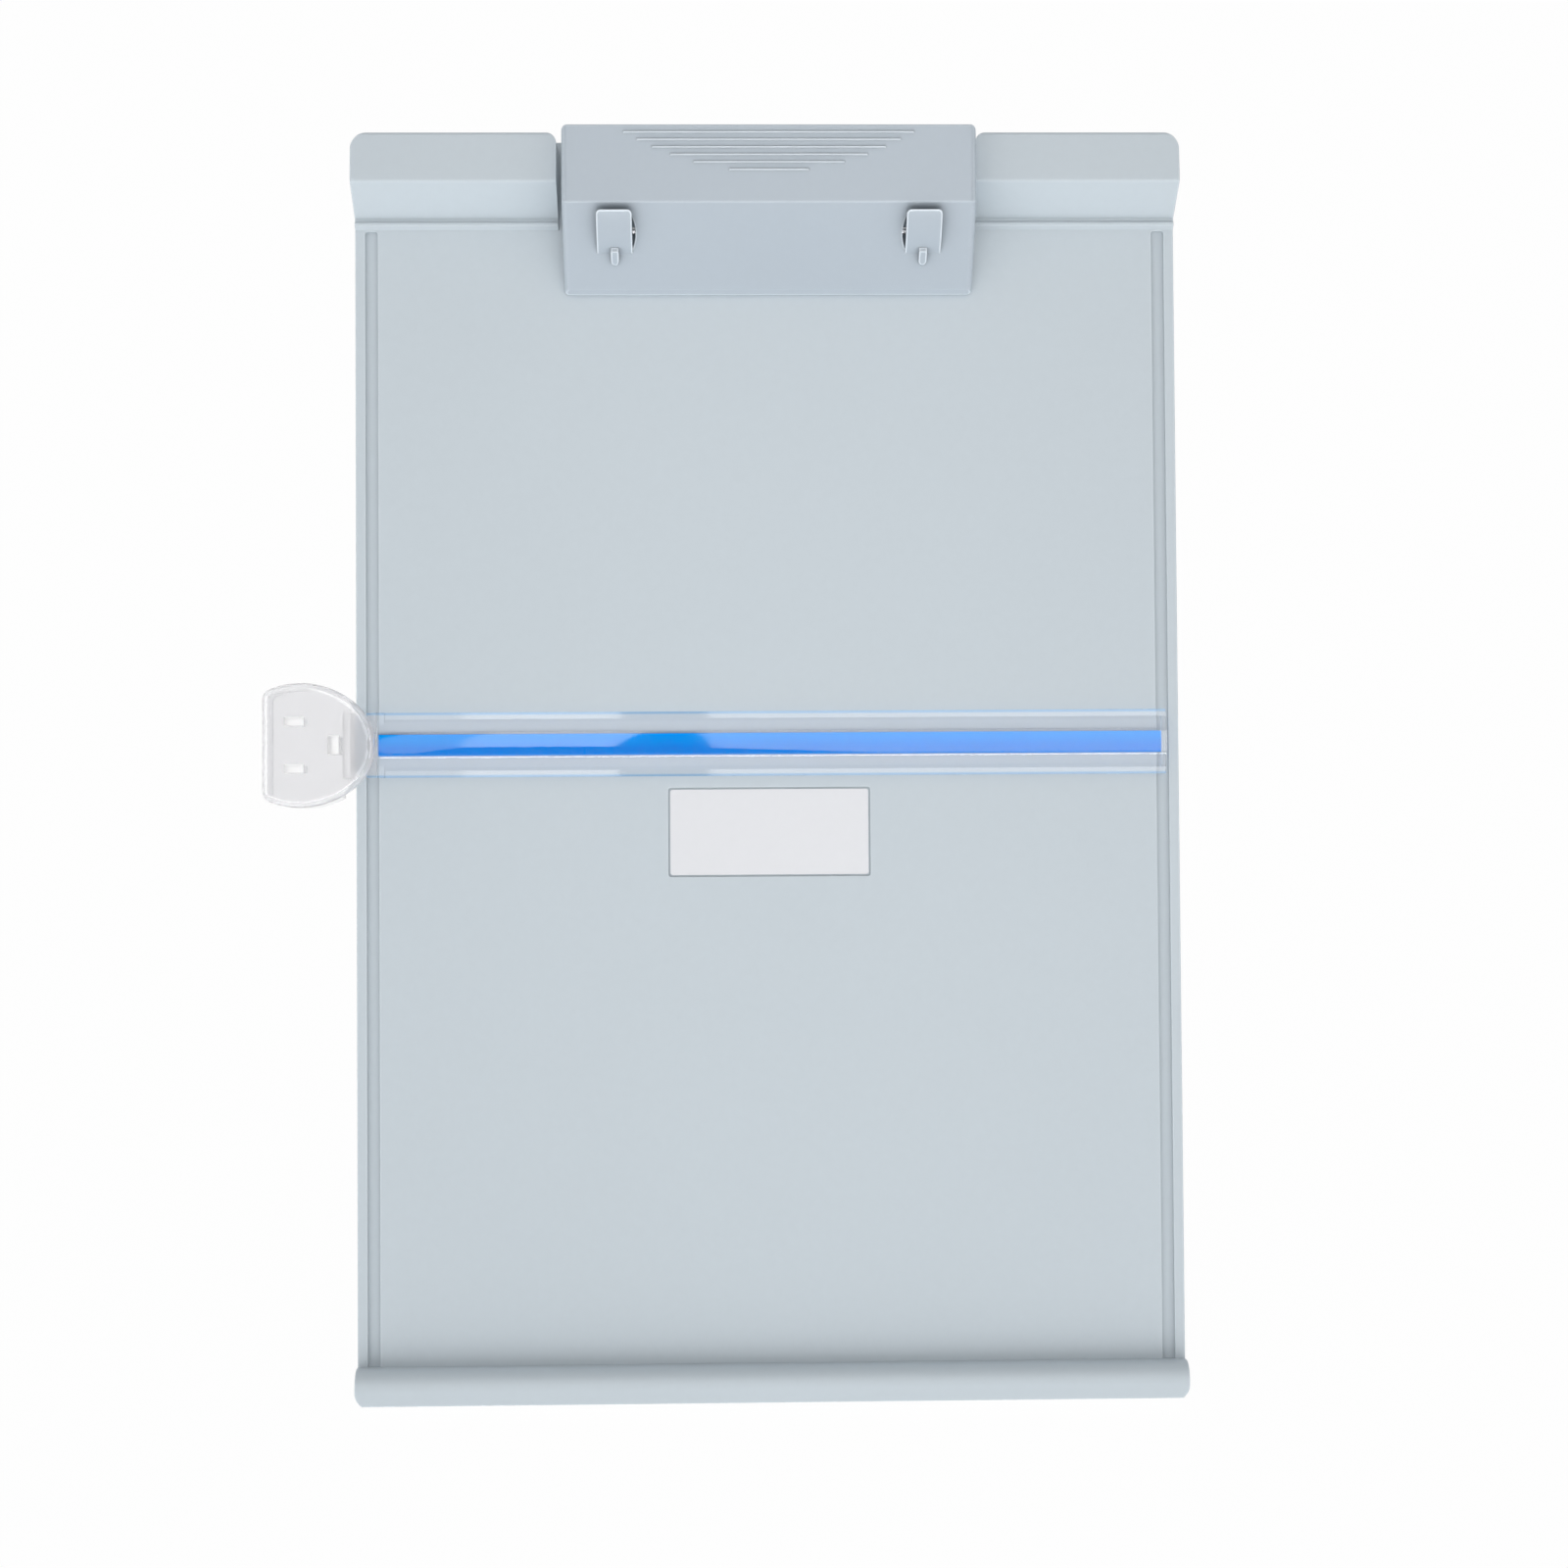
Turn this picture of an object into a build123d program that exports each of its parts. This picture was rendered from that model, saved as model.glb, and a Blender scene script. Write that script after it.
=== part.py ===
from build123d import *
import os
from math import cos, pi, radians, sin, sqrt, tan

# Document holder: a leaning board with a press clip, a sliding line guide and a fold-out leg.
# Millimetres, +Z up, desk at z = 0, origin under the middle of the front foot's sole.
# Board sizes are in the board's own directions: u across (+X), v up the board from the ledge's
# underside, w out of the panel's face towards the reader.

# Stance
lean = 20.0
leg_open = 31.0

# Board
board_width = 232.0
board_height = 355.0
board_depth = 9.0
panel_thickness = 2.4
rail_width = 2.8
groove_width = 3.5
groove_depth = 1.0
groove_floor = 2.1
groove_stop = 0.4
groove_corner = 0.7
back_beam = 9.0
back_web = 7.0
back_rib_inset = 26.0
back_rib_thickness = 2.0
back_rib_height = 4.6
back_rib_drop = 53.0
back_rib_pitch = 27.0
back_rib_count = 2

# Paper ledge
ledge_width = 232.0
ledge_height = 10.4
ledge_reach = 8.6
ledge_lift = 0.8
ledge_nose = 5.4
ledge_toe = 3.6
ledge_end_corner = 4.6

# Header
header_width = 232.0
header_height = 25.0
header_wall = 2.4
bead_rise = 1.5
bead_slope = 1.0
bead_crest = 0.9
bead_round = 0.4
shelf_rise = 0.8
shelf_run = 1.2
facet_run = 7.8
header_rise = 13.4
header_fall = 0.9
header_edge = 1.0
header_corner = 4.9
valley_width = 117.2
valley_corner = 3.3

# Label plate
label_width = 55.9
label_height = 24.1
label_thickness = 0.4
label_recess = 0.5
label_gap = 0.5
label_corner = 0.8
label_drop = 195.7

# Press clip
clip_width = 115.2
clip_wall = 2.2
clip_rise = 20.5
clip_overhang = 0.3
clip_shift = 0.7
finger_length = 21.8
finger_fall = 0.5
jaw_run = 21.1
chin_rise = 3.3
chin_run = 1.2
nose_rise = 1.7
sole_run = 2.6
jaw_gap = 0.35
cheek_thickness = 1.8
cheek_drop = 5.5
cheek_tail = 4.4
clip_edge = 1.5
clip_corner = 1.6
clip_tip_round = 0.5
ridge_round = 0.6
grip_rib_count = 6
grip_rib_pitch = 2.1
grip_rib_first = 2.2
grip_rib_width = 0.7
grip_rib_height = 0.35
grip_rib_taper = 30.0
grip_arc_radius = 78.0
grip_arc_depth = 13.5

# Clip pivots, under the hoods
pivot_drop = 6.0
pivot_rise = 10.0
pivot_offset = 43.1
clip_pin_radius = 1.1
pin_fit = 0.05
pin_proud = 0.4
post_width = 6.2
post_head = 3.5
post_base = 10.0
web_head = 3.5
web_thickness = 2.0
web_reach = 5.0

# Hoods on the jaw
hood_width = 9.9
hood_wall = 1.3
hood_top_drop = 2.3
hood_length = 10.1
hood_lip_rise = 2.8
hood_bow = 1.1
hood_corner = 1.2
port_width = 0.9
gusset_width = 2.2
gusset_reach = 2.9
gusset_rise = 2.4
gusset_top = 1.2
gusset_round = 1.0

# Clip springs
spring_offset = 30.0
spring_drop = 8.5
spring_radius = 4.0
spring_wire = 0.7
spring_wire_sides = 5
spring_half_turns = 9
spring_end_half_turns = 2
spring_end_pitch = 1.25
spring_seat = 0.1
seat_boss_radius = 2.7
seat_boss_height = 2.4

# Line guide
guide_height = 184.2
guide_width = 18.2
guide_lift = 0.5
guide_flange = 1.1
guide_dome_width = 14.4
guide_dome_rise = 2.7
guide_right_gap = 1.0
guide_left_gap = 0.2
stripe_width = 5.4
stripe_thickness = 0.2
stripe_pocket = 0.3
stripe_fit = 0.1
stripe_inset = 0.2
foot_reach = 1.6
foot_thickness = 1.2
foot_length = 14.0
tenon_thickness = 1.0

# Slide carriage
slide_gap = 0.4
slide_wall = 2.0
tongue_gap = 0.25
hook_thickness = 1.8
hook_lip = 1.4
hook_lip_height = 3.0
brake_room = 1.6
brake_thickness = 0.3
brake_length = 14.0
brake_gap = 0.3
brake_width = 4.0
floor_thickness = 2.0

# Slide knob
knob_length = 31.3
knob_overlap = 5.6
knob_nose_radius = 15.6
knob_nose_angle = 50.0
knob_flat_height = 29.8
knob_flat_corner = 3.2
knob_top = 6.6
knob_skirt = 7.2
knob_wall = 1.6
knob_round = 2.2
knob_fit = 0.2
tab_gap = 0.25
slot_pair_width = 5.5
slot_pair_height = 2.6
slot_pair_inset = 22.25
slot_pair_rise = 6.6
slot_single_width = 3.3
slot_single_height = 5.4
slot_single_inset = 11.3

# Easel leg
leg_hinge_height = 250.0
leg_hinge_depth = 6.2
leg_plate = 2.2
leg_outer = 2.8
leg_rim = 2.2
leg_rim_rise = 2.8
leg_top_gap = 6.5
leg_top_width = 104.0
leg_foot_width = 142.0
leg_corner = 8.0
leg_bar = 5.0
leg_rib_offset = 22.0
leg_rib_thickness = 2.0
leg_rib_height = 2.2
knuckle_offset = 38.0
knuckle_width = 14.0
knuckle_radius = 3.0
heel_length = 7.0
heel_gap = 0.15
lug_thickness = 5.0
lug_radius = 3.2
lug_base = 9.0
lug_gap = 0.35
leg_pin_radius = 1.5
notch_radius = 12.0

# Rubber feet
front_foot_length = 180.0
front_foot_width = 6.0
foot_sunk = 0.8
foot_proud = 0.6
leg_pad_length = 34.0
leg_pad_width = 4.4
leg_pad_thickness = 1.6
leg_pad_inset = 6.0
fit_gap = 0.1

# Travel past a face for cuts
overrun = 1.0

os.makedirs("parts", exist_ok=True)

across = Vector(1, 0, 0)
up = Vector(0, sin(radians(lean)), cos(radians(lean)))
out = Vector(0, -cos(radians(lean)), sin(radians(lean)))
sole_depth = board_depth / cos(radians(lean))
panel_foot = Vector(0, -sole_depth / 2, foot_proud)


def place(u, v, w):
    return panel_foot + across * u + up * v + out * w


# Sketch planes: parallel to the panel, square to the width, and square to the height
def face_plane(w=0):
    return Plane(origin=place(0, 0, w), x_dir=across, z_dir=out)


def side_plane(u=0):
    return Plane(origin=place(u, 0, 0), x_dir=up, z_dir=across)


def cross_plane(v=0):
    return Plane(origin=place(0, v, 0), x_dir=across, z_dir=-up)


# Corner of a wall's inner face, one wall's thickness inside an outline's corner
def inner_corner(before, corner, after, wall):
    first = (corner - before).normalized()
    second = (after - corner).normalized()
    first_normal = Vector(-first.Y, first.X)
    second_normal = Vector(-second.Y, second.X)
    return corner + (first_normal + second_normal) * (wall / (1 + first_normal.dot(second_normal)))


def finish(builder, name, slide=0):
    piece = builder.part.moved(Location(across * slide))
    piece.label = name
    export_step(piece, f"parts/{name}.step")


half_board = board_width / 2
groove_outer = half_board - rail_width
groove_inner = groove_outer - groove_width
header_foot = board_height - header_height
facet_foot = header_foot + bead_slope + bead_crest + shelf_run
facet_top = facet_foot + facet_run
groove_top = header_foot - groove_stop

# The clip's section, as (v, w): tip of the finger plate, ridge, chin and sole
finger_tip = Vector(board_height + clip_overhang, clip_rise - finger_fall)
ridge = Vector(board_height + clip_overhang - finger_length, clip_rise)
chin = Vector(ridge.X - jaw_run, chin_rise)
nose = Vector(chin.X - chin_run, nose_rise)
sole_front = Vector(nose.X + jaw_gap, jaw_gap)
sole_back = Vector(nose.X + sole_run, jaw_gap)
inner_ridge = inner_corner(finger_tip, ridge, chin, clip_wall)
inner_tip = Vector(finger_tip.X, finger_tip.Y - clip_wall)
jaw_slope = (ridge.Y - chin.Y) / (ridge.X - chin.X)
inner_chin = Vector(sole_back.X, inner_ridge.Y - (inner_ridge.X - sole_back.X) * jaw_slope)
pivot = Vector(ridge.X - pivot_drop, pivot_rise)


# Height of the jaw's outer face at a place up the board
def jaw_face(v):
    return ridge.Y - (ridge.X - v) * jaw_slope


# Header: two-facet profile with a bead along its foot, corners rounded in plan, valley between
with BuildPart() as header_form:
    with BuildSketch(side_plane(-header_width / 2)) as header_section:
        with BuildLine():
            Polyline(
                (header_foot, -board_depth),
                (header_foot, 0),
                (header_foot + bead_slope, bead_rise),
                (header_foot + bead_slope + bead_crest, bead_rise),
                (facet_foot - shelf_run, shelf_rise),
                (facet_foot, shelf_rise),
                (facet_top, header_rise),
                (board_height, header_rise - header_fall),
                (board_height, -board_depth),
                close=True,
            )
        make_face()
        crest = header_section.vertices().sort_by(Axis.Y)[-4:]
        fillet(crest[2:], header_edge)
        fillet(crest[:2], bead_round)
    extrude(amount=header_width)
    block_width = (header_width - valley_width) / 2
    with BuildSketch(face_plane(-board_depth)) as header_outline:
        for side in (-1, 1):
            with Locations((side * (header_width - block_width) / 2, header_foot + header_height / 2)):
                Rectangle(block_width, header_height)
        top_corners = header_outline.vertices().group_by(Axis.Y)[-1].sort_by(Axis.X)
        fillet([top_corners[0], top_corners[-1]], header_corner)
        fillet(header_outline.vertices().group_by(Axis.Y)[-1].sort_by(Axis.X)[1:-1], valley_corner)
    extrude(amount=board_depth + header_rise, mode=Mode.INTERSECT)

# Ledge: rounded bar along the bottom, its lower corners rounded in plan
with BuildPart() as ledge_form:
    with BuildSketch(side_plane(-ledge_width / 2)) as ledge_section:
        Polygon(
            (0, -board_depth),
            (0, 0),
            (ledge_lift, ledge_reach),
            (ledge_height, ledge_reach),
            (ledge_height, -board_depth),
            align=None,
        )
        front = ledge_section.vertices().group_by(Axis.Y)[-1].sort_by(Axis.X)
        fillet(front[-1], ledge_nose)
        fillet(front[0], ledge_toe)
    extrude(amount=ledge_width)
    with BuildSketch(face_plane(-board_depth)) as ledge_outline:
        with Locations((0, ledge_height / 2)):
            Rectangle(ledge_width, ledge_height)
        fillet(ledge_outline.vertices().group_by(Axis.Y)[0], ledge_end_corner)
    extrude(amount=board_depth + ledge_reach, mode=Mode.INTERSECT)

# Board: panel, skirt, grooves, header, ledge, clip posts and leg lugs in one moulding
with BuildPart() as board:
    with BuildSketch(face_plane(-board_depth)) as board_outline:
        with Locations((0, (ledge_height + board_height) / 2)):
            Rectangle(board_width, board_height - ledge_height)
        fillet(board_outline.vertices().group_by(Axis.Y)[-1], header_corner)
    extrude(amount=board_depth)
    add(header_form.part)
    add(ledge_form.part)

    # Hollow back: under the grooves, under the panel, in the header blocks and behind the valley
    cavity_top = header_foot - back_web / 2
    with BuildSketch(face_plane(-board_depth)):
        with Locations((0, (back_beam + cavity_top) / 2)):
            Rectangle(2 * groove_outer, cavity_top - back_beam)
    extrude(amount=board_depth - groove_depth - groove_floor, mode=Mode.SUBTRACT)
    with BuildSketch(face_plane(-board_depth)):
        with Locations((0, (back_beam + cavity_top) / 2)):
            Rectangle(2 * (groove_inner - groove_floor), cavity_top - back_beam)
    extrude(amount=board_depth - panel_thickness, mode=Mode.SUBTRACT)
    block_inner = valley_width / 2 + header_wall
    block_outer = header_width / 2 - header_wall
    with BuildSketch(side_plane(block_inner)):
        with BuildLine():
            Polyline(
                (facet_foot + header_wall, -board_depth - overrun),
                (facet_foot + header_wall, shelf_rise),
                (facet_top + header_wall / 2, header_rise - header_wall),
                (board_height - header_wall, header_rise - header_fall - header_wall),
                (board_height - header_wall, -board_depth - overrun),
                close=True,
            )
        make_face()
    pocket = extrude(amount=block_outer - block_inner, mode=Mode.SUBTRACT)
    mirror(pocket, about=Plane.YZ, mode=Mode.SUBTRACT)
    valley_bottom = cavity_top + back_web
    valley_top = board_height - header_wall
    with BuildSketch(face_plane(-board_depth)):
        with Locations((0, (valley_bottom + valley_top) / 2)):
            Rectangle(valley_width - 2 * header_wall, valley_top - valley_bottom)
    extrude(amount=board_depth - panel_thickness, mode=Mode.SUBTRACT)

    # Guide grooves, closed at the top by the header's foot
    groove_length = groove_top - ledge_height
    for side in (-1, 1):
        with BuildSketch(face_plane()) as groove:
            with Locations((side * (groove_outer + groove_inner) / 2, ledge_height + groove_length / 2)):
                Rectangle(groove_width, groove_length)
            fillet(groove.vertices().group_by(Axis.Y)[-1], groove_corner)
        extrude(amount=-groove_depth, mode=Mode.SUBTRACT)

    # Label recess
    with BuildSketch(face_plane()):
        with Locations((0, board_height - label_drop)):
            RectangleRounded(label_width + 2 * label_gap, label_height + 2 * label_gap, label_corner)
    extrude(amount=-label_recess, mode=Mode.SUBTRACT)

    # Sole: the bottom edge cut level with the desk, with a slot for the rubber foot
    with BuildSketch(side_plane(-ledge_width / 2 - overrun)):
        with BuildLine():
            sole_back_depth = board_depth + overrun
            Polyline(
                (0, 0),
                (sole_back_depth * tan(radians(lean)), -sole_back_depth),
                (-overrun, -sole_back_depth),
                (-overrun, 0),
                close=True,
            )
        make_face()
    extrude(amount=ledge_width + 2 * overrun, mode=Mode.SUBTRACT)
    with BuildSketch(Plane.XY.offset(foot_proud)):
        Rectangle(front_foot_length + 2 * fit_gap, front_foot_width + 2 * fit_gap)
    extrude(amount=foot_sunk, mode=Mode.SUBTRACT)

    # Stiffening ribs on the back
    rib_offset = half_board - back_rib_inset
    for side in (-1, 1):
        with BuildSketch(face_plane(-panel_thickness)):
            with Locations((side * rib_offset, (back_beam + cavity_top) / 2)):
                Rectangle(back_rib_thickness, cavity_top - back_beam)
        extrude(amount=-back_rib_height)
    for row in range(back_rib_count):
        with BuildSketch(face_plane(-panel_thickness)):
            with Locations((0, board_height - back_rib_drop - row * back_rib_pitch)):
                Rectangle(2 * rib_offset, back_rib_thickness)
        extrude(amount=-back_rib_height)

    # Clip posts, spring bosses and leg lugs
    for side in (-1, 1):
        post_start = side * pivot_offset - post_width / 2 + clip_shift
        with BuildSketch(side_plane(post_start)):
            with Locations((pivot.X, pivot.Y)):
                Circle(post_head)
            with Locations((pivot.X, -panel_thickness / 2)):
                Rectangle(post_base, panel_thickness)
            make_hull()
        extrude(amount=post_width)
        with BuildSketch(side_plane(post_start)):
            with Locations((pivot.X, pivot.Y)):
                Circle(clip_pin_radius)
        extrude(amount=post_width, mode=Mode.SUBTRACT)
        with BuildSketch(face_plane(-panel_thickness / 2)):
            with Locations((side * spring_offset + clip_shift, board_height - spring_drop)):
                Circle(seat_boss_radius)
        extrude(amount=panel_thickness / 2 + seat_boss_height)
        for edge in (-1, 1):
            lug_middle = side * knuckle_offset + edge * (knuckle_width / 2 + lug_gap + lug_thickness / 2)
            with BuildSketch(side_plane(lug_middle - lug_thickness / 2)):
                with Locations((leg_hinge_height, -leg_hinge_depth)):
                    Circle(lug_radius)
                with Locations((leg_hinge_height, -panel_thickness / 2)):
                    Rectangle(lug_base, panel_thickness)
                make_hull()
            extrude(amount=lug_thickness)
            with BuildSketch(side_plane(lug_middle - lug_thickness / 2)):
                with Locations((leg_hinge_height, -leg_hinge_depth)):
                    Circle(leg_pin_radius)
            extrude(amount=lug_thickness, mode=Mode.SUBTRACT)
finish(board, "board")

# Label plate, bare, lying in its recess
with BuildPart() as label_plate:
    with BuildSketch(face_plane(-label_recess)):
        with Locations((0, board_height - label_drop)):
            RectangleRounded(label_width, label_height, label_corner)
    extrude(amount=label_thickness)
finish(label_plate, "label_plate")

# Rubber strip under the board
with BuildPart() as front_foot:
    with BuildSketch(Plane.XY):
        Rectangle(front_foot_length, front_foot_width)
    extrude(amount=foot_proud + foot_sunk)
finish(front_foot, "front_foot")

# Hood over the right-hand clip post: a bowed strap with a closed top and outer side
hood_top = ridge.X - hood_top_drop
hood_foot = hood_top - hood_length
hood_chord = Vector(hood_length, jaw_face(hood_top) + hood_lip_rise - jaw_face(hood_foot))
hood_inward = Vector(hood_chord.Y, -hood_chord.X).normalized()
hood_radius = (hood_chord.length**2 / 4 + hood_bow**2) / (2 * hood_bow)
hood_centre = Vector(hood_foot, jaw_face(hood_foot)) + hood_chord / 2 + hood_inward * (hood_radius - hood_bow)


def hood_face(height, inset=0):
    return hood_centre.Y + sqrt((hood_radius - inset) ** 2 - (height - hood_centre.X) ** 2)


def hood_points(start, end, inset=0):
    return [(height, hood_face(height, inset)) for height in (start, (start + end) / 2, end)]


with BuildPart() as hood_form:
    with BuildSketch(side_plane(pivot_offset - hood_width / 2)):
        with BuildLine():
            outside = ThreePointArc(*hood_points(hood_foot, hood_top))
            inside = ThreePointArc(*hood_points(hood_foot + hood_wall, hood_top - hood_wall, hood_wall))
            Polyline(
                outside @ 1,
                (hood_top, jaw_face(hood_top) - clip_wall / 2),
                (hood_top - hood_wall, jaw_face(hood_top - hood_wall) - clip_wall / 2),
                inside @ 1,
            )
            Polyline(
                inside @ 0,
                (hood_foot + hood_wall, jaw_face(hood_foot) - clip_wall / 2),
                (hood_foot, jaw_face(hood_foot) - clip_wall / 2),
                outside @ 0,
            )
        make_face()
    extrude(amount=hood_width)
    with BuildSketch(side_plane(pivot_offset + hood_width / 2 - hood_wall)):
        with BuildLine():
            outside = ThreePointArc(*hood_points(hood_foot, hood_top))
            Polyline(
                outside @ 1,
                (hood_top, jaw_face(hood_top) - clip_wall / 2),
                (hood_foot, jaw_face(hood_foot) - clip_wall / 2),
                outside @ 0,
            )
        make_face()
    extrude(amount=hood_wall)
    with BuildSketch(face_plane()) as hood_outline:
        with Locations((pivot_offset, (hood_top + hood_foot) / 2)):
            Rectangle(hood_width, hood_length)
        fillet(hood_outline.vertices().group_by(Axis.Y)[-1], hood_corner)
    extrude(amount=hood_face(hood_top), mode=Mode.INTERSECT)

# Gusset rib under the hood, its lower end rounded in plan
gusset_foot = hood_foot - gusset_reach
gusset_head = hood_foot + gusset_top
with BuildPart() as gusset_form:
    with BuildSketch(side_plane(pivot_offset - gusset_width / 2)):
        Polygon(
            (gusset_foot, jaw_face(gusset_foot) - clip_wall / 2),
            (gusset_foot, jaw_face(gusset_foot) + gusset_rise / 2),
            (hood_foot, jaw_face(hood_foot) + gusset_rise),
            (gusset_head, jaw_face(hood_foot) + gusset_rise),
            (gusset_head, jaw_face(hood_foot) - clip_wall / 2),
            align=None,
        )
    extrude(amount=gusset_width)
    with BuildSketch(face_plane()) as gusset_outline:
        with Locations((pivot_offset, (gusset_foot + gusset_head) / 2)):
            Rectangle(gusset_width, gusset_head - gusset_foot)
        fillet(gusset_outline.vertices().group_by(Axis.Y)[0], gusset_round)
    extrude(amount=hood_face(hood_top), mode=Mode.INTERSECT)

# Press clip: finger plate and jaw in one bent wall, with cheeks, ports, hoods, webs and grip ribs
web_middles = (
    pivot_offset - hood_width / 2 - port_width - fit_gap - web_thickness / 2,
    pivot_offset + hood_width / 2 - hood_wall + web_thickness / 2,
)
finger_run = (finger_tip - ridge).length
finger_up = (up * (finger_tip.X - ridge.X) + out * (finger_tip.Y - ridge.Y)).normalized()
finger_plane = Plane(origin=place(0, ridge.X, ridge.Y), x_dir=across, z_dir=across.cross(finger_up))


# Edges round the clip's two ends, on its front faces
def on_clip_rim(edge):
    middle = face_plane().to_local_coords(edge.center())
    front = min(jaw_face(middle.Y), finger_tip.Y) - clip_wall / 4
    return abs(abs(middle.X) - clip_width / 2) < fit_gap and middle.Z > front and middle.Y > chin.X


# Front edge of the finger plate's tip
def on_clip_tip(edge):
    middle = face_plane().to_local_coords(edge.center())
    return abs(middle.Y - finger_tip.X) < fit_gap and middle.Z > finger_tip.Y - clip_wall / 2


with BuildPart() as clip_lever:
    with BuildSketch(side_plane(-clip_width / 2)) as clip_section:
        with BuildLine():
            Polyline(
                finger_tip,
                ridge,
                chin,
                nose,
                sole_front,
                sole_back,
                inner_chin,
                inner_ridge,
                inner_tip,
                close=True,
            )
        make_face()
        fillet(clip_section.vertices().sort_by(Axis.Y)[-1], ridge_round)
    extrude(amount=clip_width)
    for side in (-1, 1):
        cheek_start = side * (clip_width - cheek_thickness) / 2 - cheek_thickness / 2
        with BuildSketch(side_plane(cheek_start)) as cheek:
            with BuildLine():
                Polyline(
                    finger_tip,
                    ridge,
                    chin,
                    nose,
                    sole_front,
                    sole_back,
                    (pivot.X, pivot.Y - cheek_drop),
                    (finger_tip.X, finger_tip.Y - cheek_tail),
                    close=True,
                )
            make_face()
            fillet(cheek.vertices().sort_by(Axis.Y)[-1], ridge_round)
        extrude(amount=cheek_thickness)
    fillet(clip_lever.edges().filter_by(on_clip_rim), clip_edge)
    with BuildSketch(face_plane()):
        with Locations((0, (finger_tip.X + nose.X) / 2)):
            RectangleRounded(clip_width, finger_tip.X - nose.X, clip_corner)
    extrude(amount=clip_rise + overrun, mode=Mode.INTERSECT)
    fillet(clip_lever.edges().filter_by(on_clip_tip), clip_tip_round)

    # Ports bowed past each hood's open side, the hoods, and the webs that run on the pins
    port_edge = pivot_offset - hood_width / 2
    port_outer = pivot_offset + hood_width / 2 - hood_wall
    port_bottom = hood_foot + hood_wall
    port_top = hood_top - hood_wall
    with BuildSketch(face_plane(pivot.Y - post_head)):
        with BuildLine():
            bow = ThreePointArc(
                (port_edge, port_bottom),
                (port_edge - port_width, (port_bottom + port_top) / 2),
                (port_edge, port_top),
            )
            Polyline(bow @ 1, (port_outer, port_top), (port_outer, port_bottom), bow @ 0)
        make_face()
    port = extrude(amount=clip_rise, mode=Mode.SUBTRACT)
    mirror(port, about=Plane.YZ, mode=Mode.SUBTRACT)
    for form in (hood_form.part, gusset_form.part):
        add(form)
        mirror(form, about=Plane.YZ)
    for side in (-1, 1):
        for web_middle in web_middles:
            with BuildSketch(side_plane(side * web_middle - web_thickness / 2)):
                with Locations((pivot.X, pivot.Y)):
                    Circle(web_head)
                for end in (-1, 1):
                    web_end = pivot.X + end * web_reach
                    with Locations((web_end, jaw_face(web_end) - clip_wall)):
                        Circle(clip_wall / 2)
                make_hull()
            extrude(amount=web_thickness)
            with BuildSketch(side_plane(side * web_middle - web_thickness / 2)):
                with Locations((pivot.X, pivot.Y)):
                    Circle(clip_pin_radius + pin_fit)
            extrude(amount=web_thickness, mode=Mode.SUBTRACT)
        with BuildSketch(finger_plane.offset(-clip_wall - seat_boss_height)):
            with Locations((side * spring_offset, board_height - spring_drop - ridge.X)):
                Circle(seat_boss_radius)
        extrude(amount=seat_boss_height + clip_wall / 2)

    # Grip ribs, each as long as the arc that bounds them
    for row in range(grip_rib_count):
        rib_place = finger_run - grip_rib_first - row * grip_rib_pitch
        above_arc = rib_place - (finger_run - grip_arc_depth)
        rib_half = sqrt(above_arc * (2 * grip_arc_radius - above_arc))
        with BuildSketch(finger_plane):
            with Locations((0, rib_place)):
                Rectangle(2 * rib_half, grip_rib_width)
        extrude(amount=grip_rib_height, taper=grip_rib_taper)
finish(clip_lever, "clip_lever", clip_shift)

# Clip pins, held in the posts
for side, name in ((-1, "clip_pin_left"), (1, "clip_pin_right")):
    pin_start = min(side * (web_middles[0] - web_thickness / 2), side * (web_middles[1] + web_thickness / 2))
    pin_length = web_middles[1] - web_middles[0] + web_thickness + 2 * pin_proud
    with BuildPart() as clip_pin:
        with BuildSketch(side_plane(pin_start - pin_proud)):
            with Locations((pivot.X, pivot.Y)):
                Circle(clip_pin_radius)
        extrude(amount=pin_length)
    finish(clip_pin, name, clip_shift)

# Clip springs: closed end turns and open middle turns, each half turn a pair of tangent arcs
spring_height = board_height - spring_drop
plate_underside = inner_tip.Y + (inner_tip.X - spring_height) * finger_fall / finger_length
spring_bottom = spring_seat + spring_wire / 2
spring_top = plate_underside - spring_seat - spring_wire / 2
end_rise = spring_end_pitch / 2
middle_half_turns = spring_half_turns - 2 * spring_end_half_turns
middle_rise = (spring_top - spring_bottom - 2 * spring_end_half_turns * end_rise) / middle_half_turns
end_rises = [end_rise] * spring_end_half_turns
rises = end_rises + [middle_rise] * middle_half_turns + end_rises


# Point and direction of the wire after a number of half turns
def coil_station(middle, turn):
    angle = pi * turn
    height = spring_bottom + sum(rises[:turn])
    slope = (rises[max(turn - 1, 0)] + rises[min(turn, spring_half_turns - 1)]) / 2
    spot = place(middle + spring_radius * cos(angle), spring_height + spring_radius * sin(angle), height)
    around = up * cos(angle) - across * sin(angle)
    return spot, (around * (pi * spring_radius) + out * slope).normalized()


# Meeting point and direction of the two arcs that join two stations, with equal tangent lengths
def biarc_joint(start, start_way, end, end_way):
    chord = end - start
    square = 2 * (1 - start_way.dot(end_way))
    linear = 2 * chord.dot(start_way + end_way)
    reach = (sqrt(linear * linear + 4 * square * chord.dot(chord)) - linear) / (2 * square)
    start_corner = start + start_way * reach
    end_corner = end - end_way * reach
    return (start_corner + end_corner) / 2, (end_corner - start_corner).normalized()


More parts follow.
